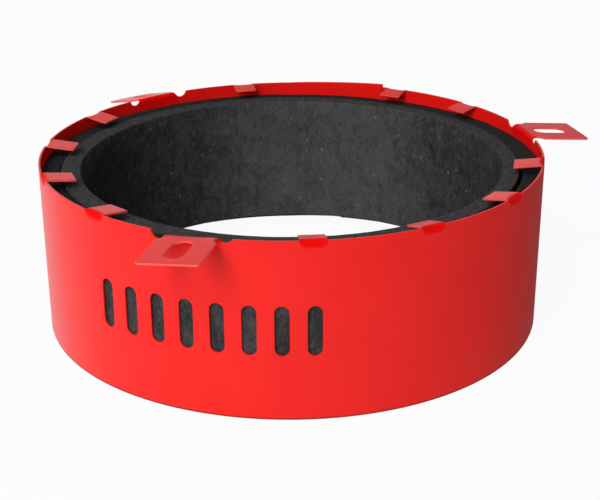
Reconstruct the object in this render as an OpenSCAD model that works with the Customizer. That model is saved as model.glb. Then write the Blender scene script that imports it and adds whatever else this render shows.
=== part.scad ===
// Pipe fire collar: a rolled steel band with fixing lugs and retaining tabs, lined with two
// wraps of intumescent strip. It stands on its plain rim, with the lug rim uppermost and the
// pipe's axis on Z. Angles run anticlockwise from +X, seen from above.

/* [Liner] */
// Bore that the lined collar leaves for the pipe
bore_d = 162; // [120:1:240]
// Thickness of the inner wrap of strip
inner_wrap_t = 7; // [4:0.5:10]
// Thickness of the outer wrap of strip
outer_wrap_t = 7; // [4:0.5:10]
// Height of the inner wrap above the plain rim
inner_wrap_lift = 6; // [1:0.5:8]
// Depth of the inner wrap below the lug rim
inner_wrap_depth = 4.5; // [3.5:0.5:8]
// How far the outer wrap sits below the inner one
outer_wrap_drop = 0.6; // [0:0.1:0.9]
// Mean slack between the two wraps
wrap_slack = 0.6; // [0.5:0.1:1.5]
// How far the inner wrap's back is pressed over towards one side
wrap_shift = 0.5; // [0:0.05:0.5]
// Fit between the outer wrap and the band
liner_fit = 0.1; // [0.05:0.05:0.3]
// Gap where the two ends of a wrap butt
butt_gap = 0.6; // [0.2:0.1:2]
// Angle of the inner wrap's butt joint
inner_butt_az = 299; // [0:1:359]
// Angle of the outer wrap's butt joint
outer_butt_az = 238; // [0:1:359]

/* [Band] */
// Thickness of the steel sheet
sheet_t = 0.8; // [0.6:0.1:1.2]
// Height of the band
band_h = 65; // [60:1:90]
// Angle between the first tab and the inner strip end
seam_clear_az = 0.5; // [0.3:0.1:2]
// Angle over which the two strip ends lap
lap_span = 12; // [6:1:20]
// Angle over which the strip end steps inwards
join_span = 26; // [22:1:28]
// How far the strip end stands proud of the lug rim
end_rise = 1.6; // [0.2:0.1:2.5]
// Gap that the outer strip end leaves on the outside of the lap
lap_gap = 0.5; // [0.2:0.1:1.5]

/* [Tabs and lugs] */
// Number of places along the lug rim that hold a tab or a lug
place_count = 14; // [8:1:14]
// Angle of the first place, beside the seam
first_az = 61.4; // [60:0.1:63]
// Angle from one place to the next
pitch_az = 24.5; // [20:0.1:25]
// First place that holds a lug
lug_first = 2; // [0:1:4]
// Places from one lug to the next
lug_every = 5; // [3:1:7]

/* [Tabs] */
// Width of a retaining tab
tab_w = 9; // [5:0.5:12]
// Width of the relief slit on each side of a tab
tab_relief = 0.3; // [0.2:0.1:0.8]
// How far a tab reaches in from the inside of the band
tab_reach = 9; // [6:0.1:13]
// Inside radius of a tab's bend
tab_bend_r = 2; // [0.6:0.1:2.5]
// Angle by which a tab leans down towards the liner
tab_droop = 8; // [0:1:12]

/* [Lugs] */
// Width of a fixing lug
lug_w = 21.5; // [14:0.5:26]
// How far a lug stands out from the band
lug_len = 23; // [18:0.5:30]
// Inside radius of a lug's bend
lug_bend_r = 0.8; // [0.5:0.1:2]
// Depth of a lug's face below the lug rim at its bend
lug_drop = 0.3; // [0:0.1:3]
// Angle by which a lug leans down towards its tip
lug_droop = 3; // [0:1:8]
// Radius of a lug's two outer corners
lug_corner_r = 1; // [0.2:0.1:4]
// Width of the screw slot in a lug
slot_w = 7; // [5:0.5:9]
// Length of the screw slot in a lug
slot_len = 13.5; // [10:0.5:16]
// Distance of the slot's middle from the band
slot_out = 10.5; // [9:0.5:11]
// Width of the relief notch on each side of a lug
notch_w = 3.5; // [3:0.5:8]
// Radius of the relief notch's outer corner
notch_r = 2; // [1:0.1:2.5]

/* [Vents] */
// Number of upright slots in the front of the band
vent_count = 8; // [0:1:10]
// Width of an upright slot
vent_w = 5; // [3:0.5:8]
// Height of an upright slot
vent_h = 18; // [10:1:30]
// Angle of the middle of the row of slots
vent_mid_az = 252; // [200:1:320]
// Angle from one slot to the next
vent_pitch_az = 6.5; // [6:0.5:10]
// Height of the middle of the slots above the plain rim
vent_mid_z = 33; // [20:0.5:40]

/* [Hidden] */
$fn = 180;
paint_red = [0.86, 0.12, 0.12];
strip_black = [0.16, 0.16, 0.17];
bore_r = bore_d / 2;
inner_wrap_r = bore_r + inner_wrap_t;
outer_wrap_in_r = inner_wrap_r + wrap_slack;
outer_wrap_r = outer_wrap_in_r + outer_wrap_t;
band_in_r = outer_wrap_r + liner_fit;
band_r = band_in_r + sheet_t;
strip_w = band_h - inner_wrap_lift - inner_wrap_depth;
outer_wrap_lift = inner_wrap_lift - outer_wrap_drop;
tab_gap_w = tab_w + 2 * tab_relief;
seam_az = first_az + half_angle(tab_gap_w, band_in_r) + seam_clear_az;
join_az = seam_az + join_span;
// The inner strip end's face is a cylinder moved along its tangent, one sheet further in at its
// tip, and its root runs on inside the wall
end_shift = sheet_t / sin(join_span);
end_tilt = atan(end_rise / (band_in_r * sin(join_span)));
end_seat_r = band_in_r + sheet_t / 2;
end_root_az = 2;
// Pocket in the outer wrap that leaves room for the inner strip end
end_pocket_r = band_in_r - sheet_t - liner_fit;
pocket_margin_az = 2;
// Upright stretch of sheet below the bend of each tab and lug, and its root in the wall
stem = 0.3;
stem_root = 1;
tab_z = band_h - tab_bend_r - sheet_t;
tab_tip_r = band_in_r - tab_reach;
lug_z = band_h - lug_drop - lug_bend_r - sheet_t;
lug_tip_r = band_r + lug_len;
// Length that reaches past whatever a cutter has to clear
over = 2;
far = band_r + lug_len + over;
tall = band_h + end_rise + over;

function place_az(place) = first_az - place * pitch_az;
function is_lug(place) = place % lug_every == lug_first;
function half_angle(width, radius) = asin(width / 2 / radius);

// A slice of the space round the axis, under half a turn wide
module slice(from_az, to_az, height) {
    mid_az = (from_az + to_az) / 2;
    reach = far / cos((to_az - from_az) / 4);
    linear_extrude(height)
        polygon([[0, 0], for (az = [from_az, mid_az, to_az]) reach * [cos(az), sin(az)]]);
}

module ring(outer_r, inner_r, height) {
    difference() {
        cylinder(r = outer_r, h = height);
        translate([0, 0, -over]) cylinder(r = inner_r, h = height + 2 * over);
    }
}

module obround(length, width) {
    square([length - width, width], center = true);
    for (side = [-1, 1]) translate([side * (length - width) / 2, 0]) circle(d = width);
}

// Section of the sheet up a short stem, round a bend and along a flat
module fold(turn, bend_r, flat_len) {
    bend_out_r = bend_r + sheet_t;
    wide = 2 * bend_out_r;
    translate([bend_r, -stem - stem_root]) square([sheet_t, stem + stem_root]);
    intersection() {
        difference() {
            circle(r = bend_out_r);
            circle(r = bend_r);
        }
        polygon([[0, 0], [wide, 0], [wide, wide], wide * [cos(turn), sin(turn)]]);
    }
    rotate(turn) translate([bend_r, 0]) square([sheet_t, flat_len]);
}

// The wall's top edge, taken away where a tab grows out of it
module tab_gap() {
    translate([0, -tab_gap_w / 2, tab_z - stem]) cube([far, tab_gap_w, tall]);
}

// The wall's top edge, taken away where a lug grows out of it and in the notches beside it
module lug_gap() {
    half_w = lug_w / 2 + notch_w;
    translate([0, 0, lug_z - stem]) rotate([90, 0, 90]) linear_extrude(far) {
        translate([notch_r - half_w, 0]) square([2 * (half_w - notch_r), tall]);
        translate([-half_w, notch_r]) square([2 * half_w, tall]);
        for (side = [-1, 1]) translate([side * (half_w - notch_r), notch_r]) circle(r = notch_r);
    }
}

// The tabs, which lean in over the liner, cut out of a full turn of folded sheet
module tabs() {
    intersection() {
        rotate_extrude() translate([band_r - tab_bend_r - sheet_t, tab_z])
            fold(90 + tab_droop, tab_bend_r, tab_reach + over);
        for (place = [0 : place_count - 1]) if (!is_lug(place)) rotate([0, 0, place_az(place)])
            translate([tab_tip_r, -tab_w / 2, 0]) cube([band_r - tab_tip_r + over, tab_w, tall]);
    }
}

module lug_outline() {
    root_r = band_in_r - over;
    side_len = lug_tip_r - root_r - lug_corner_r;
    translate([root_r, -lug_w / 2]) square([side_len, lug_w]);
    translate([root_r, lug_corner_r - lug_w / 2])
        square([side_len + lug_corner_r, lug_w - 2 * lug_corner_r]);
    for (side = [-1, 1])
        translate([root_r + side_len, side * (lug_w / 2 - lug_corner_r)]) circle(r = lug_corner_r);
}

// The lugs, which stand out from the band with a screw slot each, cut out in the same way
module lugs() {
    intersection() {
        rotate_extrude() translate([band_r + lug_bend_r, lug_z]) mirror([1, 0])
            fold(90 + lug_droop, lug_bend_r, lug_len + over);
        for (place = [0 : place_count - 1]) if (is_lug(place)) rotate([0, 0, place_az(place)])
            linear_extrude(tall) difference() {
                lug_outline();
                translate([band_r + slot_out, 0]) obround(slot_len, slot_w);
            }
    }
}

module vent() {
    translate([band_in_r - over, 0, vent_mid_z]) rotate([0, 90, 0])
        linear_extrude(sheet_t + 2 * over) obround(vent_h, vent_w);
}

// The inner strip end, which steps in behind the outer one and stands a little proud of it
module strip_end() {
    rotate([0, 0, join_az]) intersection() {
        difference() {
            cylinder(r = end_seat_r, h = tall);
            translate([0, end_shift, -over]) cylinder(r = band_in_r, h = tall + 2 * over);
        }
        slice(-join_span, end_root_az, tall);
        rotate([-end_tilt, 0, 0]) translate([0, -far, 0]) cube([far, 2 * far, band_h]);
    }
}

// The line on the outside of the band where the outer strip end stops
module lap_line() {
    rotate([0, 0, seam_az + lap_span]) translate([0, -lap_gap / 2, -over])
        cube([far, lap_gap, tall + over]);
}

module steel_band() color(paint_red) {
    difference() {
        ring(band_r, band_in_r, band_h);
        lap_line();
        for (place = [0 : place_count - 1]) rotate([0, 0, place_az(place)]) {
            if (is_lug(place)) lug_gap();
            else tab_gap();
        }
        for (i = [0 : 1 : vent_count - 1])
            rotate([0, 0, vent_mid_az + (i - (vent_count - 1) / 2) * vent_pitch_az]) vent();
    }
    tabs();
    lugs();
    strip_end();
}

module butt_slit(az, inner_r) {
    rotate([0, 0, az]) translate([inner_r - over, -butt_gap / 2, -over])
        cube([far - inner_r, butt_gap, tall + over]);
}

module inner_wrap() color(strip_black)
    difference() {
        translate([-wrap_shift, 0, inner_wrap_lift]) cylinder(r = inner_wrap_r, h = strip_w);
        cylinder(r = bore_r, h = tall);
        butt_slit(inner_butt_az, bore_r);
    }

module outer_wrap() color(strip_black)
    difference() {
        translate([0, 0, outer_wrap_lift]) ring(outer_wrap_r, outer_wrap_in_r, strip_w);
        butt_slit(outer_butt_az, outer_wrap_in_r);
        intersection() {
            ring(far, end_pocket_r, tall);
            slice(seam_az - pocket_margin_az, join_az + pocket_margin_az, tall);
        }
    }

steel_band();
inner_wrap();
outer_wrap();
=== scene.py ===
import math
from collections import namedtuple

import bpy
import numpy as np
from mathutils import Matrix, Vector, noise
from mathutils.geometry import delaunay_2d_cdt


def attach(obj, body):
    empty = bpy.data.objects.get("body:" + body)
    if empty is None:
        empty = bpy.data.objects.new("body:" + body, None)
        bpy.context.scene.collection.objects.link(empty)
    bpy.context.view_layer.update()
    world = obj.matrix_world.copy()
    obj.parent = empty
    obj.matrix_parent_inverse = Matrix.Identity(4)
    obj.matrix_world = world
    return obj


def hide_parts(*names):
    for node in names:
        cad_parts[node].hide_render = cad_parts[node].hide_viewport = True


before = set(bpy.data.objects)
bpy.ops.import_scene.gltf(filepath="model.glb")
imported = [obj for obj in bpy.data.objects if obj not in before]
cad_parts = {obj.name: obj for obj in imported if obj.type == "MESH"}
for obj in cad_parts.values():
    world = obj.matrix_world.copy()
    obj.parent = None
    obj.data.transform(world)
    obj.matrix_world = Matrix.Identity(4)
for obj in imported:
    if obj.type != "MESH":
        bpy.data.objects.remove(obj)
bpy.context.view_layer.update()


# Inner wrap: a strip of graphite-filled foam rubber, 7 mm thick, cut square and rolled into the
# collar with its two ends butted. Its faces are matt charcoal with a drawn, scuffed skin and pale
# mineral specks, and its sawn edges are grainy.
MM = 0.001
bore_r = 81.0
inner_back_r = 88.0
inner_shift = -0.5
inner_z = (6.0, 60.5)
inner_butt_az = 299.0
inner_seed, inner_wander = 3.0, 0.12
butt_gap = 0.6
strip_corner_r = 0.5
strip_turns = 520
# Steps along the bottom, back, top and face of a wrap's section
strip_steps = (3, 9, 6, 34)
# Sizes of the skin's ripples and swells and of the sawn grain, round the ring and up it
ripple_size, swell_size, grain_size = (3.2, 9.0), (21.0, 40.0), (1.3, 1.3)


def inner_back(az):
    """Radius of the inner wrap's back, which is pressed a little towards one side."""
    across = inner_shift * math.sin(az)
    return inner_shift * math.cos(az) + math.sqrt(inner_back_r ** 2 - across ** 2)


def strip_section(low, high, face_r, back_r):
    """A wrap's section as (radius, height, outward radius, outward height), anticlockwise."""
    loop = []
    round_r = strip_corner_r
    corners = [(face_r, low, 1, 1, 180), (back_r, low, -1, 1, 270),
               (back_r, high, -1, -1, 0), (face_r, high, 1, -1, 90)]
    for i, (r, z, to_r, to_z, start) in enumerate(corners):
        for turn in (0, 30, 60, 90):
            a = math.radians(start + turn)
            loop.append((r + to_r * round_r + round_r * math.cos(a),
                         z + to_z * round_r + round_r * math.sin(a), math.cos(a), math.sin(a)))
        next_r, next_z, next_to_r, next_to_z, _ = corners[(i + 1) % 4]
        end_r = next_r + next_to_r * round_r * (i in (0, 2))
        end_z = next_z + next_to_z * round_r * (i in (1, 3))
        r0, z0, out_r, out_z = loop[-1]
        for k in range(1, strip_steps[i]):
            part = k / strip_steps[i]
            loop.append((r0 + (end_r - r0) * part, z0 + (end_z - z0) * part, out_r, out_z))
    return loop


def lumps(x, y, z, size, seed):
    """Smooth noise between -1 and 1, with lumps of the given size round the ring and up it."""
    across, up = size
    return noise.noise(Vector((x / across, y / across, z / up + seed)))


def rolled_strip(name, face_r, back_of, z_span, butt_az, seed, wander):
    """Rolls a strip into a ring with a butt joint, with a skin that isn't quite even."""
    half_gap = math.degrees(butt_gap / 2 / face_r)
    span = 360 - 2 * half_gap
    verts, faces, sawn = [], [], []
    for i in range(strip_turns + 1):
        az = math.radians(butt_az + half_gap + span * i / strip_turns)
        section = strip_section(*z_span, face_r, back_of(az))
        for r, z, out_r, out_z in section:
            x, y = r * math.cos(az), r * math.sin(az)
            ripple = lumps(x, y, z, ripple_size, seed)
            swell = lumps(x, y, z, swell_size, seed)
            grain = lumps(x, y, z, grain_size, seed) * abs(out_z) ** 4
            move = -wander * (0.75 + 0.55 * swell + 0.3 * ripple + 0.55 * grain)
            r, z = r + move * out_r, z + move * out_z
            verts.append((r * math.cos(az) * MM, r * math.sin(az) * MM, z * MM))
    n = len(section)
    for i in range(strip_turns):
        for k in range(n):
            a, b = i * n + k, i * n + (k + 1) % n
            faces.append((a, b, b + n, a + n))
            sawn.append(abs(section[k][3] + section[(k + 1) % n][3]) > 1.0)
    faces.append(tuple(range(n - 1, -1, -1)))
    faces.append(tuple(range(strip_turns * n, (strip_turns + 1) * n)))
    sawn += [True, True]
    mesh = bpy.data.meshes.new(name)
    mesh.from_pydata(verts, [], faces)
    mesh.polygons.foreach_set("use_smooth", [True] * (len(faces) - 2) + [False] * 2)
    mesh.polygons.foreach_set("material_index", [int(cut) for cut in sawn])
    mesh.update()
    piece = bpy.data.objects.new(name, mesh)
    bpy.context.scene.collection.objects.link(piece)
    return piece


class Socket:
    """A shader socket that Python's operators work on, each adding its Math node."""

    def __init__(self, tree, output=None):
        self.tree, self.output = tree, output

    def make(self, kind, settings, inputs, output=0):
        """Adds a node: its settings first, then the values or links of its sockets."""
        node = self.tree.nodes.new("ShaderNode" + kind)
        for key, value in settings.items():
            setattr(node, key, value)
        for key, value in inputs.items():
            if isinstance(value, Socket):
                self.tree.links.new(value.output, node.inputs[key])
            else:
                node.inputs[key].default_value = value
        return Socket(self.tree, node.outputs[output]) if node.outputs else None

    def math(self, operation, a, b=0.0):
        return self.make("Math", {"operation": operation}, {0: a, 1: b})

    def __add__(self, other): return self.math("ADD", self, other)
    def __radd__(self, other): return self.math("ADD", other, self)
    def __sub__(self, other): return self.math("SUBTRACT", self, other)
    def __rsub__(self, other): return self.math("SUBTRACT", other, self)
    def __mul__(self, other): return self.math("MULTIPLY", self, other)
    def __rmul__(self, other): return self.math("MULTIPLY", other, self)
    def __truediv__(self, other): return self.math("DIVIDE", self, other)

    def over(self, low, high):
        """0 below low, 1 above high, and a smooth rise between them."""
        return self.make("MapRange", {"interpolation_type": "SMOOTHSTEP"},
                         {"Value": self, "From Min": low, "From Max": high})

    def tint(self, off, on):
        """A colour that goes from off to on as this value goes from 0 to 1."""
        return self.make("Mix", {"data_type": "RGBA"}, {0: self, 6: off, 7: on}, 2)

    def scaled(self, by):
        return self.make("VectorMath", {"operation": "MULTIPLY"}, {0: self, 1: by})

    def along(self, way):
        """How far this vector reaches along a given way."""
        return self.make("VectorMath", {"operation": "DOT_PRODUCT"}, {0: self, 1: way}, "Value")

    def length(self):
        return self.make("VectorMath", {"operation": "LENGTH"}, {0: self}, "Value")

    def part(self, axis):
        return self.make("SeparateXYZ", {}, {0: self}, axis)

    def noise(self, scale, detail, rough=0.5):
        return self.make("TexNoise", {}, {"Vector": self, "Scale": scale, "Detail": detail,
                                          "Roughness": rough})

    def ray(self, kind):
        """1 for rays of one kind, such as those straight from the camera."""
        return self.make("LightPath", {}, {}, f"Is {kind} Ray")


def new_finish(name):
    """An empty material, and a socket with each point's place in millimetres."""
    finish = bpy.data.materials.new(name)
    finish.use_nodes = True
    finish.node_tree.nodes.clear()
    blank = Socket(finish.node_tree)
    return finish, blank.make("TexCoord", {}, {}, "Object").scaled((1 / MM, 1 / MM, 1 / MM))


def surface(shader):
    """Links a shader socket to its finish's output."""
    shader.make("OutputMaterial", {}, {"Surface": shader})


def grey(level):
    """A neutral charcoal, the least bit cool."""
    return (level, level, level * 1.01, 1.0)


# One stretch of the bore is painted paler than the rest, round this angle, as a painted sheen from the key
# lamp.
painted_sheen_az = math.radians(80)
painted_sheen_way = (math.cos(painted_sheen_az), math.sin(painted_sheen_az), 0.0)
# The weave's threads round the ring and up each millimetre, in radians, and how far they wander
weave_round, weave_up, weave_wander = 430.0, 5.2, 5.0
speck_grey, grit_grey = grey(0.18), grey(0.20)


def skin_finish(name, level):
    """The strip's drawn skin: mottled and streaked, with a painted sheen on one stretch, a faint weave and
    specks.
    """
    finish, at = new_finish(name)
    drawn = at.scaled((1.0, 1.0, 0.6))
    blotch = at.noise(0.09, 2.0)
    mottle = drawn.noise(0.34, 3.0, 0.6)
    streak = drawn.noise(0.95, 3.0, 0.65)
    grain = at.noise(2.0, 2.0, 0.7)
    across = at.math("ARCTAN2", at.part("Y"), at.part("X"))
    weave = at.math("SINE", across * weave_round + streak * weave_wander)
    weave = weave * at.math("SINE", at.part("Z") * weave_up + streak * weave_wander)
    cells = {"Vector": at, "Scale": 0.3, "Randomness": 1.0}
    near = at.make("TexVoronoi", {}, cells, "Distance")
    draw = at.make("SeparateColor", {}, {0: at.make("TexVoronoi", {}, cells, "Color")}, "Red")
    speck = (1 - near.over(0.08, 0.22)) * draw.over(0.60, 0.98)
    # Painted sheen: the skin is paler towards one stretch of the bore, in place of the key lamp's
    # reflection.
    painted_sheen = (at.along(painted_sheen_way) / bore_r).over(0.72, 1.0)
    shade = (painted_sheen - 0.5) * 0.46 + (blotch - 0.5) * 0.7 + (mottle - 0.5) * 1.1
    shade = shade + (streak - 0.5) * 1.2 + (grain - 0.5) * 1.3 + weave * 0.08 + 0.5
    body = shade.tint(grey(level * 0.45), grey(level * 1.6))
    bump = at.make("Bump", {}, {
        "Strength": 0.5, "Distance": 0.0004,
        "Height": mottle * 0.5 + streak * 0.6 + grain * 0.4 + weave * 0.10 + speck * 0.5})
    surface(at.make("BsdfPrincipled", {}, {
        "Base Color": (speck * 0.8).tint(body, speck_grey),
        "Roughness": 0.52 + 0.16 * grain + 0.10 * streak,
        "Specular IOR Level": 0.03, "Normal": bump}))
    return finish


def sawn_finish(name, level):
    """The strip's sawn edge: matt and open, with saw lines round the ring and pale mineral grains."""
    finish, at = new_finish(name)
    radius = at.scaled((1.0, 1.0, 0.0)).length()
    wander = at.noise(0.35, 2.0)
    saw = at.math("SINE", radius * 6.5 + wander * 9.0)
    grain = at.noise(0.95, 4.0, 0.8)
    grit = at.noise(4.2, 1.0).over(0.62, 0.78)
    pit = at.noise(1.1, 2.0).over(0.60, 0.75)
    shade = (grain - 0.5) * 4.0 + (wander - 0.5) * 0.6 + saw * 0.08 + 0.5
    body = shade.tint(grey(level * 0.55), grey(level * 1.5))
    gritty = (grit * 0.35).tint(body, grit_grey)
    bump = at.make("Bump", {}, {
        "Strength": 0.8, "Distance": 0.0005,
        "Height": grain * 0.8 + saw * 0.06 + grit * 0.3 - pit * 0.4})
    surface(at.make("BsdfPrincipled", {}, {
        # Pits are painted darker: painted shade in the hollows.
        "Base Color": (pit * 0.6).tint(gritty, grey(level * 0.3)),
        "Roughness": 0.88 + 0.1 * grain, "Specular IOR Level": 0.06, "Normal": bump}))
    return finish


inner_strip = rolled_strip("inner_strip", bore_r, inner_back, inner_z, inner_butt_az,
                           inner_seed, inner_wander)
inner_strip.data.materials.append(skin_finish("inner_strip_skin", 0.0535))
inner_strip.data.materials.append(sawn_finish("inner_strip_edge", 0.056))
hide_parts("inner_wrap")
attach(inner_strip, "root")


# Outer wrap: a second strip of the same stuff, wound between the first and the steel. It sits a
# little lower, and its sawn edges are painted darker than the inner wrap's, as painted shade where
# the steel and the inner wrap shade them. A shallow hollow in its back leaves room for the inner
# end of the steel strip.
outer_face_r = 88.6
outer_back_r = 95.5
outer_hollow_r = 94.75
outer_hollow_az = (62.8, 92.8)
outer_z = (5.4, 59.9)
outer_butt_az = 238.0
outer_seed, outer_wander = 11.0, 0.1


def outer_back(az):
    """Radius of the outer wrap's back, with the hollow behind the lap of the steel."""
    low, high = outer_hollow_az
    az = math.degrees(az) % 360
    inside = min(az - low, high - az)
    return outer_back_r - (outer_back_r - outer_hollow_r) * min(1.0, max(0.0, inside + 1.0))


outer_strip = rolled_strip("outer_strip", outer_face_r, outer_back, outer_z, outer_butt_az,
                           outer_seed, outer_wander)
outer_strip.data.materials.append(skin_finish("outer_strip_skin", 0.060))
# The low level of the sawn edge is painted shade: that edge lies in the shade of the steel.
outer_strip.data.materials.append(sawn_finish("outer_strip_edge", 0.025))
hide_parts("outer_wrap")
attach(outer_strip, "root")


# Steel band: a 0.8 mm strip, punched flat with its tabs, lugs, notches and upright slots, then
# rolled, lapped and spot welded. The tabs are pressed in over the liner and the lugs out for the
# screws. It is powder coated bright red, with the coat thin and dull on the bends and the inside.
band_r = 96.09  # to the middle of the sheet
sheet_t = 0.8
band_h = 65.0
edge_round = 0.18
first_az, pitch_az, place_count = 61.4, 24.5, 14
seam_az, lap_end_az, join_az = 64.78, 76.5, 90.78
lap_settle_az, lap_clear = 1.0, 0.03
end_rise = 1.6
degree = math.radians(band_r)

# The strip lies flat as (length along the roll, height). Heights above the folds are on a tab or lug.
tab_w, tab_slit = 9.0, 0.06
tab_fold_h, tab_bend_h, tab_flat_h = 63.0, 3.0, 9.0
tab_bend_mid, tab_bend_side = 1.7, 0.6
tab_draw_w, tab_draw_h = 2.0, 4.0
slit_h = tab_fold_h - 0.2
lug_w, lug_corner_r = 21.5, 1.0
lug_fold_h, lug_bend_h, lug_bend_r = 62.8, 2.2, 1.2
lug_stem_h = 0.3
lug_curl_h = lug_bend_h - lug_stem_h
notch_r, notch_out, notch_over = 2.75, 1.0, 2.65
slot_w, slot_len, slot_mid_r = 7.0, 13.5, 107.0
vent_w, vent_h, vent_mid_h = 5.0, 18.0, 33.0
vent_mid_az, vent_pitch_az, vent_count = 252.0, 6.5, 8
weld_az, weld_heights, weld_r, weld_dent = 360 + 70.6, (9.0, 32.5, 56.0), 2.6, 0.22

# Spacing of the mesh's points along the strip's edges and up its ends, its rows and columns, and how
# far the points between them keep off the slots, notches and welds
edge_step, end_step, slot_step = 2.4, 5.0, 2.0
wall_low_h, wall_high_h, wall_rows = 3.0, tab_fold_h - 5.0, 11
tab_root_drops, tab_bend_rows, tab_flat_rows, tab_columns = (2.8, 1.8, 0.8), 10, 4, 11
lug_bend_rows, lug_flat_rows, lug_columns = 6, 9, 13
notch_points, corner_points, slot_points = 26, 5, 12
weld_rings, weld_spokes, weld_twist = 5, 16, 15.0
off_slot, off_notch, off_vent, off_weld = 0.7, 0.5, 1.0, 1.2
near_h = 0.3
hair = 0.01

# The tabs and lugs were pressed over one by one, so each has its own turn along the rim, lean below
# level, tip radius and, on a lug, tilt of its fold line.
Place = namedtuple("Place", "az is_lug lean tip_r tilt")
pressed_tabs = {0: (-0.6, 9, 87.9), 1: (0.8, 10, 88.0), 3: (0.6, 8, 85.2), 4: (0.4, 10, 86.0),
                5: (0.2, 15, 86.9), 6: (0.0, 14, 86.8), 8: (1.0, 8, 85.4), 9: (-0.6, 7, 84.8),
                10: (-0.8, 7, 84.8), 11: (-1.0, 8, 86.2), 13: (0.6, 8, 88.3)}
pressed_lugs = {2: (0.8, 5, 119.4, 0.0), 7: (0.5, 3, 117.6, 4.0), 12: (1.0, 14, 119.2, 0.0)}
places = []
for place in range(place_count):
    shift_az, lean, tip_r, *tilt = pressed_lugs.get(place) or pressed_tabs[place]
    az = first_az - place * pitch_az + shift_az
    az += 360 * math.ceil((join_az - az) / 360)
    places.append(Place(az, place in pressed_lugs, math.radians(90 + lean), tip_r,
                        math.radians(tilt[0]) if tilt else 0.0))
places.sort()


def nearest_place(x):
    """The tab or lug that is nearest along the strip, and the distance past its middle."""
    spot = min(places, key=lambda p: abs(p.az - x / degree))
    return spot, x - spot.az * degree


def lug_flat(spot):
    """Radius where a lug's flat starts, and the flat's length to its tip."""
    start_r = band_r + lug_bend_r * (1 - math.cos(spot.lean))
    return start_r, (spot.tip_r - start_r) / math.sin(spot.lean)


def slot_height(spot):
    """Height of the middle of a lug's slot on the flat strip."""
    return lug_fold_h + lug_bend_h + (slot_mid_r - lug_flat(spot)[0]) / math.sin(spot.lean)


def spaced(a, b, gap):
    """Points from a up to but not including b, about gap apart."""
    count = max(1, round(math.dist(a, b) / gap))
    return [(a[0] + (b[0] - a[0]) * i / count, a[1] + (b[1] - a[1]) * i / count) for i in range(count)]


def arc(mid, radius, start, end, count):
    """Points on an arc from start to end, in degrees, both ends included."""
    angles = [math.radians(start + (end - start) * i / count) for i in range(count + 1)]
    return [(mid[0] + radius * math.cos(a), mid[1] + radius * math.sin(a)) for a in angles]


def obround(mid, mid_h, width, height):
    """An upright slot's outline, clockwise, because it is a hole."""
    lift = (height - width) / 2
    loop = arc((mid, mid_h + lift), width / 2, 180, 0, slot_points)
    loop += spaced(loop[-1], (mid + width / 2, mid_h - lift), slot_step)[1:]
    loop += arc((mid, mid_h - lift), width / 2, 0, -180, slot_points)
    loop += spaced(loop[-1], (mid - width / 2, mid_h + lift), slot_step)[1:]
    return loop


def polyline(points, gap):
    """An open outline through the given points, with more of them along its straights."""
    line = []
    for a, b in zip(points, points[1:]):
        line += spaced(a, b, gap)
    return line + [points[-1]]


def lug_rim(spot):
    """The rim round one lug and its two notches, from right to left, and points for its faces."""
    c, half = spot.az * degree, lug_w / 2
    top = lug_fold_h + lug_bend_h + lug_flat(spot)[1]
    rows = [lug_fold_h + lug_stem_h + lug_curl_h * i / lug_bend_rows for i in range(lug_bend_rows + 1)]
    rows += [rows[-1] + (top - rows[-1]) * i / lug_flat_rows for i in range(1, lug_flat_rows)]
    bite = math.degrees(math.acos(notch_out / notch_r))
    notches = [(c + side * (half + notch_out), lug_fold_h + notch_over + side * half * math.tan(spot.tilt))
               for side in (1, -1)]
    (right, right_h), (left, left_h) = notches
    line = [(right + notch_r, band_h)] if right_h < band_h else []
    line += [p for p in arc((right, right_h), notch_r, 0, -180 - bite, notch_points)
             if p[0] < c + half + hair or p[1] <= band_h]
    edge_from = line[-1][1]
    line += [(c + half, h) for h in rows if h > edge_from + near_h]
    line += arc((c + half - lug_corner_r, top - lug_corner_r), lug_corner_r, 0, 90, corner_points)
    line += arc((c - half + lug_corner_r, top - lug_corner_r), lug_corner_r, 90, 180, corner_points)
    other = arc((left, left_h), notch_r, bite, -180, notch_points)
    edge_to = other[0][1]
    line += [(c - half, h) for h in reversed(rows) if h > edge_to + near_h]
    line += [p for p in other if p[0] > c - half - hair or p[1] <= band_h]
    line += [(left - notch_r, band_h)] if left_h < band_h else []
    mid_h = slot_height(spot)
    inside = [(c + y, h) for h in rows for y in np.linspace(-half, half, lug_columns)[1:-1]
              if (abs(y) > slot_w / 2 + off_slot or abs(h - mid_h) > slot_len / 2 + off_slot)
              and min(math.dist((c + y, h), notch) for notch in notches) > notch_r + off_notch]
    return line, inside


def tab_rim(spot):
    """The rim round one tab and the slits beside it, from right to left, and points for its faces."""
    c, half = spot.az * degree, tab_w / 2
    rows = [tab_fold_h + tab_bend_h * i / tab_bend_rows for i in range(tab_bend_rows + 1)]
    rows += [rows[-1] + tab_flat_h * i / tab_flat_rows for i in range(1, tab_flat_rows + 1)]
    line = [(c + half + tab_slit, band_h), (c + half + tab_slit, slit_h), (c + half, slit_h)]
    line += [(c + half, h) for h in rows]
    line += [(c - half, h) for h in reversed(rows)]
    line += [(c - half, slit_h), (c - half - tab_slit, slit_h), (c - half - tab_slit, band_h)]
    inside = [(c + y, h) for h in [slit_h - drop for drop in tab_root_drops] + rows[:-1]
              for y in np.linspace(-half, half, tab_columns)[1:-1]]
    return line, inside


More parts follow.
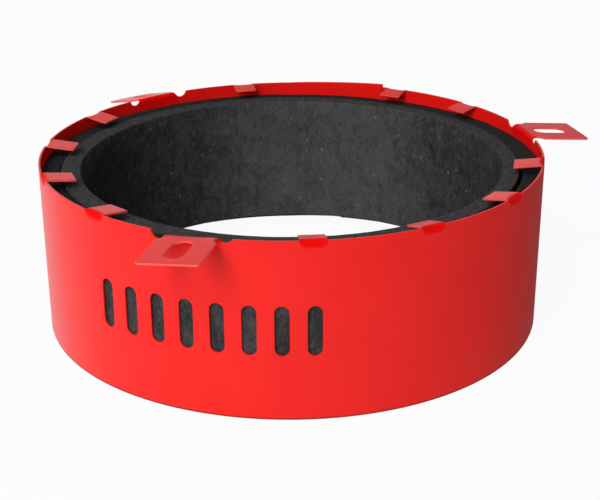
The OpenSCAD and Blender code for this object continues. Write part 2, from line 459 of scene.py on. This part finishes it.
start_l, end_l = seam_az * degree, (360 + lap_end_az) * degree
rim = [(end_l, band_h)]
loose = []
slots = []
for spot in reversed(places):
    line, inside = lug_rim(spot) if spot.is_lug else tab_rim(spot)
    rim += line
    loose += inside
    if spot.is_lug:
        slots.append((spot.az * degree, slot_height(spot), slot_w, slot_len))
rim += [(start_l, band_h)]
outline = polyline([(start_l, 0.0), (end_l, 0.0)], edge_step)
outline += polyline([(end_l, 0.0), (end_l, band_h)], end_step)[1:-1]
outline += polyline(rim, edge_step)[:-1]
outline += polyline([(start_l, band_h), (start_l, 0.0)], end_step)[:-1]
for i in range(vent_count):
    vent_az = vent_mid_az + (i - (vent_count - 1) / 2) * vent_pitch_az
    slots.append((vent_az * degree, vent_mid_h, vent_w, vent_h))


def in_slot(x, h, grow=0.0):
    """True where a point of the flat strip lies in one of its slots."""
    for mid, mid_h, width, height in slots:
        if abs(x - mid) < width / 2 + grow:
            past = max(0.0, abs(h - mid_h) - (height - width) / 2)
            if math.hypot(x - mid, past) < width / 2 + grow:
                return True
    return False


def to_weld(x, h):
    """Distance from a point of the flat strip to the nearest spot weld."""
    return min(math.dist((x, h), (weld_az * degree, weld_h)) for weld_h in weld_heights)


for h in np.linspace(wall_low_h, wall_high_h, wall_rows):
    for x in np.arange(start_l + edge_step, end_l - edge_step / 2, edge_step):
        if not in_slot(x, h, off_vent) and to_weld(x, h) > weld_r + off_weld:
            loose.append((x, h))
for weld_h in weld_heights:
    mid = (weld_az * degree, weld_h)
    loose.append(mid)
    for ring in range(1, weld_rings + 1):
        start = weld_twist * ring
        loose += arc(mid, weld_r * ring / (weld_rings - 0.5), start, start + 360 - 360 / weld_spokes,
                     weld_spokes - 1)


def bend_at(y):
    """A tab's bend radius across its width: full in the middle, tight at the sides."""
    return tab_bend_side + (tab_bend_mid - tab_bend_side) * max(0.0, 1 - abs(2 * y / tab_w) ** 4)


def roll(x, h, w):
    """Takes a point of the flat strip, w out from the middle of the sheet, to its place on the collar."""
    az = x / degree
    step_in = 0.0
    if az < join_az:
        t = min(1.0, (join_az - az) / (join_az - lap_end_az - lap_settle_az))
        step_in = (sheet_t + lap_clear) * t * t * (3 - 2 * t)
    rise = end_rise * max(0.0, (join_az - az) / (join_az - seam_az))
    spot, y = nearest_place(x)
    turn = y / band_r
    out, lift = band_r - step_in, h + rise
    if w > 0:
        out -= weld_dent * max(0.0, 1 - (to_weld(x, h) / weld_r) ** 2) ** 1.5
    out_x, out_y, out_z = 1.0, 0.0, 0.0
    shift = 0.0
    if spot.is_lug and abs(y) < lug_w / 2 + hair and h > lug_fold_h - 2.0:
        ct, st = math.cos(spot.tilt), math.sin(spot.tilt)
        along, past = y * ct + (h - lug_fold_h) * st, (h - lug_fold_h) * ct - y * st - lug_stem_h
        if past > 0:
            a = spot.lean * min(1.0, past / lug_curl_h)
            up = lug_stem_h + lug_bend_r * math.sin(a)
            shift = lug_bend_r * (1 - math.cos(a))
            far = past - lug_curl_h
            turn = (along * ct - up * st) / band_r
            if far > 0:
                to = lug_flat(spot)[0] + far * math.sin(spot.lean)
                up += (to - band_r * math.cos(turn) - shift) / math.tan(spot.lean)
                shift = to - band_r * math.cos(turn)
            lift = lug_fold_h + along * st + up * ct
            out_x, out_y, out_z = math.cos(a), math.sin(a) * st, -math.sin(a) * ct
    elif not spot.is_lug and abs(y) < tab_w / 2 + tab_draw_w and h > tab_fold_h - tab_draw_h:
        bend = bend_at(y)
        fold = tab_fold_h + (tab_bend_mid - bend) * math.tan(spot.lean / 2)
        if h <= tab_fold_h or abs(y) > tab_w / 2 + hair:
            near = (tab_w / 2 + tab_draw_w - abs(y)) / (tab_draw_w - tab_slit - 0.1)
            high = min((h - tab_fold_h) / tab_draw_h + 1.0, (band_h - h) / (band_h - tab_fold_h))
            lift += min(1.0, max(0.0, near)) * (fold - tab_fold_h) * high
        else:
            a = spot.lean * min(1.0, (h - tab_fold_h) / tab_bend_h)
            lift = fold + bend * math.sin(a)
            shift = -bend * (1 - math.cos(a))
            far = (h - tab_fold_h - tab_bend_h) / tab_flat_h
            if far > 0:
                reach = (band_r * math.cos(turn) + shift - spot.tip_r) * far
                shift -= reach
                lift += reach / math.tan(spot.lean)
            out_x, out_z = math.cos(a), math.sin(a)
    place = Vector((out * math.cos(turn) + shift, out * math.sin(turn), lift))
    place += w * Vector((out_x * math.cos(turn) - out_y * math.sin(turn),
                         out_x * math.sin(turn) + out_y * math.cos(turn), out_z))
    return Matrix.Rotation(math.radians(spot.az), 3, "Z") @ place


# How dull the coat is inside the band, and how worn it is on the edges of the lugs and tabs and of the
# rim, with a painted highlight on those edges
inside_dull = 0.5
pressed_wear_and_highlight, rim_wear_and_highlight = 1.0, 0.12


def bend_share(x, h):
    """1 on the bend at the root of a tab or lug, fading out on the wall below and the flat beyond."""
    spot, y = nearest_place(x)
    if abs(y) > (lug_w if spot.is_lug else tab_w) / 2 + 0.05:
        return 0.0
    low, span = (lug_fold_h + 0.2, lug_bend_h) if spot.is_lug else (tab_fold_h, tab_bend_h)
    rising, falling = (h - low) / 0.5 + 1.0, (low + span - h) / (span * 0.45)
    return max(0.0, min(1.0, rising, falling))


def edge_wear_and_highlight(x, h, edge_h):
    """How worn a cut edge is, with a painted highlight on it: lugs and tabs most, the rim a little, and
    the fine slits not at all.
    """
    spot, y = nearest_place(x)
    if not spot.is_lug and abs(abs(y) - tab_w / 2) < near_h and h < band_h + near_h:
        return 0.0
    return pressed_wear_and_highlight if edge_h > band_h + near_h else rim_wear_and_highlight


def punched_strip(name):
    """Triangulates the flat strip, rolls and folds it, and rounds its edges all round."""
    points, edges, inward = [], [], []
    for loop in [outline] + [obround(*slot) for slot in slots]:
        base = len(points)
        for i, p in enumerate(loop):
            before, after = loop[i - 1], loop[(i + 1) % len(loop)]
            sides = []
            for a, b in ((before, p), (p, after)):
                length = math.dist(a, b)
                sides.append((-(b[1] - a[1]) / length, (b[0] - a[0]) / length))
            nx, ny = sides[0][0] + sides[1][0], sides[0][1] + sides[1][1]
            size = max(0.9, nx * nx + ny * ny)
            inward.append((2 * nx / size, 2 * ny / size))
            edges.append((base + i, base + (i + 1) % len(loop)))
        points += loop
    rims = len(points)
    points += loose
    found, _, tris, origin, _, _ = delaunay_2d_cdt([Vector(p) for p in points], edges, [], 1, 1e-5)
    source = [o[0] for o in origin]
    kept = []
    for t in tris:
        x = sum(found[i][0] for i in t) / 3
        h = sum(found[i][1] for i in t) / 3
        if not in_slot(x, h):
            kept.append([source[i] for i in t])
    verts, wear_and_highlight, bent, faces = [], [], [], []

    def inset(i, by):
        """A point of the strip, moved in from its edge by a share of the edge's rounding."""
        x, h = points[i]
        if i < rims:
            x, h = x + inward[i][0] * edge_round * by, h + inward[i][1] * edge_round * by
        return x, h

    def sheet_face(w):
        """One side of the sheet."""
        base = len(verts)
        for i in range(len(points)):
            x, h = inset(i, 1.0)
            verts.append(roll(x, h, w))
            wear_and_highlight.append(0.0)
            bent.append(max(bend_share(x, h), inside_dull if w < 0 and h < band_h else 0.0))
        return base

    half = sheet_t / 2
    outer, inner = sheet_face(half), sheet_face(-half)
    faces += [tuple(outer + i for i in t) for t in kept]
    faces += [tuple(inner + i for i in reversed(t)) for t in kept]
    rings = [outer]
    soft = 1 - math.sqrt(0.5)
    for by, w in ((soft, half - soft * edge_round), (0, half - edge_round),
                  (0, edge_round - half), (soft, soft * edge_round - half)):
        rings.append(len(verts))
        for i in range(rims):
            x, h = inset(i, by)
            verts.append(roll(x, h, w))
            wear_and_highlight.append(edge_wear_and_highlight(*points[i], h))
            bent.append(bend_share(x, h))
    rings.append(inner)
    for a, b in edges:
        for upper, lower in zip(rings, rings[1:]):
            faces.append((upper + b, upper + a, lower + a, lower + b))
    mesh = bpy.data.meshes.new(name)
    mesh.from_pydata([v * MM for v in verts], [], faces)
    mesh.attributes.new("worn_and_highlight_edge", "FLOAT", "POINT").data.foreach_set("value", wear_and_highlight)
    mesh.attributes.new("pressed_bend", "FLOAT", "POINT").data.foreach_set("value", bent)
    mesh.polygons.foreach_set("use_smooth", [True] * len(faces))
    mesh.update()
    piece = bpy.data.objects.new(name, mesh)
    bpy.context.scene.collection.objects.link(piece)
    return piece


coat_deep, coat_bright = (0.80, 0.011, 0.009, 1.0), (0.90, 0.021, 0.017, 1.0)
dull_red = (0.76, 0.0, 0.0, 1.0)
contact_shadow_brown = (0.10, 0.010, 0.008, 1.0)
worn_pink_highlight = (0.90, 0.20, 0.17, 1.0)


def paint_finish(name):
    """Bright red powder coat: faint orange peel, worn lug edges with a painted highlight, dull bends and
    painted contact shadow at the standing edge.
    """
    finish, at = new_finish(name)
    peel = at.noise(0.9, 2.0)
    cloud = at.noise(0.045, 3.0)
    fine = at.noise(6.0, 2.0)
    edge = at.make("Attribute", {"attribute_name": "worn_and_highlight_edge"}, {}, "Fac")
    bend = at.make("Attribute", {"attribute_name": "pressed_bend"}, {}, "Fac")
    coat = (cloud * 0.7 + peel * 0.3).tint(coat_deep, coat_bright)
    coat = (bend * 0.8).tint(coat, dull_red)
    # Painted contact shadow: darker brown towards the standing edge, in the lowest millimetre.
    contact_shadow = (1 - at.part("Z").over(0.2, 1.0)) * (0.55 + 0.4 * cloud)
    coat = contact_shadow.tint(coat, contact_shadow_brown)
    # Pale pink on the cut edges: partly paint wear, partly a painted highlight.
    wear_and_highlight = edge.over(0.2, 1.0) * (0.25 + 0.5 * fine) * (1 - contact_shadow)
    bump = at.make("Bump", {}, {"Strength": 0.25, "Distance": 0.0003, "Height": peel * 0.5 + cloud * 3.0})
    surface(at.make("BsdfPrincipled", {}, {
        "Base Color": wear_and_highlight.tint(coat, worn_pink_highlight),
        "Roughness": 0.40 + 0.20 * cloud + 0.05 * fine, "Specular IOR Level": 0.04,
        "Coat Weight": (1 - 0.92 * bend) * (0.88 + 0.12 * cloud), "Coat IOR": 1.31, "Coat Roughness": 0.30,
        "Normal": bump}))
    return finish


band = punched_strip("collar_band")
band.data.materials.append(paint_finish("red_powder_coat"))
soft_edges = band.modifiers.new("even shading", "WEIGHTED_NORMAL")
soft_edges.weight = 80
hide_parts("steel_band")
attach(band, "root")


# Studio: a plain white floor that takes the collar's shadow, and a white surround that glossy rays
# see too. A soft key lamp stands in front on the left, a weak one overhead, low cards light the
# sides and the back, and the camera is where the photograph was taken.
floor_reach, floor_z = 6.0, -0.0001
floor_mesh = bpy.data.meshes.new("floor")
floor_mesh.from_pydata([(x * floor_reach, y * floor_reach, floor_z)
                        for x, y in ((-1, -1), (1, -1), (1, 1), (-1, 1))], [], [(0, 1, 2, 3)])
floor = bpy.data.objects.new("floor", floor_mesh)
bpy.context.scene.collection.objects.link(floor)
white = (1.0, 1.0, 1.0, 1.0)
floor_paper, at = new_finish("white_floor")
paper = at.make("BsdfDiffuse", {}, {"Color": (0.72, 0.72, 0.72, 1.0)})
glow = at.make("Emission", {}, {"Color": white, "Strength": 1.0})
sheen_colour = at.part("X").over(-60.0, 120.0).tint((0.8, 0.8, 0.8, 1.0), (0.08, 0.08, 0.08, 1.0))
sheen = at.make("Emission", {}, {"Color": sheen_colour, "Strength": 1.0})
outside = at.length().over(94.0, 97.0)
mirrored_floor = at.make("MixShader", {}, {0: at.ray("Glossy") * outside * 0.93, 1: paper, 2: sheen})
surface(at.make("MixShader", {}, {0: at.ray("Camera") * 0.94, 1: mirrored_floor, 2: glow}))
floor_mesh.materials.append(floor_paper)

surround = bpy.data.worlds.new("white_surround")
bpy.context.scene.world = surround
surround.use_nodes = True
surround.node_tree.nodes.clear()
sky = Socket(surround.node_tree).make("TexCoord", {}, {}, "Generated")
ambient = 0.04
mirrored_sky = (1 - sky.part("Z").over(0.42, 0.75)) * (0.78 - 0.5 * sky.part("X").over(0.08, 0.3))
seen = sky.ray("Camera") * 0.95 + sky.ray("Glossy") * mirrored_sky + sky.ray("Transmission")
backdrop = sky.make("Background", {}, {"Color": white, "Strength": ambient + (1 - ambient) * seen})
backdrop.make("OutputWorld", {}, {"Surface": backdrop})

lamp_aim = Vector((0, 0, 0.03))


def soft_lamp(name, az, elevation, distance, width, height, level):
    """A soft box aimed at the collar; level is what it adds to a white face turned to it."""
    lamp = bpy.data.lights.new(name, "AREA")
    lamp.shape, lamp.size, lamp.size_y = "RECTANGLE", width, height
    lamp.energy = level * (math.pi * distance) ** 2
    holder = bpy.data.objects.new(name, lamp)
    a, e = math.radians(az), math.radians(elevation)
    towards = Vector((math.cos(a) * math.cos(e), math.sin(a) * math.cos(e), math.sin(e)))
    holder.location = lamp_aim + towards * distance
    holder.rotation_mode = "QUATERNION"
    holder.rotation_quaternion = towards.to_track_quat("Z", "Y")
    holder.visible_camera = holder.visible_glossy = False
    bpy.context.scene.collection.objects.link(holder)


soft_lamp("key_lamp", 243, 38, 1.5, 0.68, 1.2, 0.95)
soft_lamp("top_lamp", 90, 78, 1.6, 1.0, 1.0, 0.13)
soft_lamp("left_card", 198, 4, 1.0, 1.1, 0.13, 0.24)
soft_lamp("right_card", 326, 4, 1.0, 1.1, 0.13, 0.16)
soft_lamp("back_card", 84, 6, 1.2, 1.8, 0.22, 0.50)

camera_aim = Vector((3.007, 0, 22.0)) * MM
camera_distance = 512 * MM
camera_elevation, camera_roll = math.radians(22.513), math.radians(-0.311)
camera = bpy.data.cameras.new("camera")
camera.lens, camera.sensor_width = 76.81, 36.0
eye = bpy.data.objects.new("camera", camera)
back = Vector((0, -math.cos(camera_elevation), math.sin(camera_elevation)))
eye.location = camera_aim + back * camera_distance
eye.rotation_mode = "QUATERNION"
level_turn = (-back).to_track_quat("-Z", "Y")
eye.rotation_quaternion = level_turn @ Matrix.Rotation(camera_roll, 3, "Z").to_quaternion()
bpy.context.scene.collection.objects.link(eye)
bpy.context.scene.camera = eye
bpy.context.scene.view_settings.view_transform = "Standard"
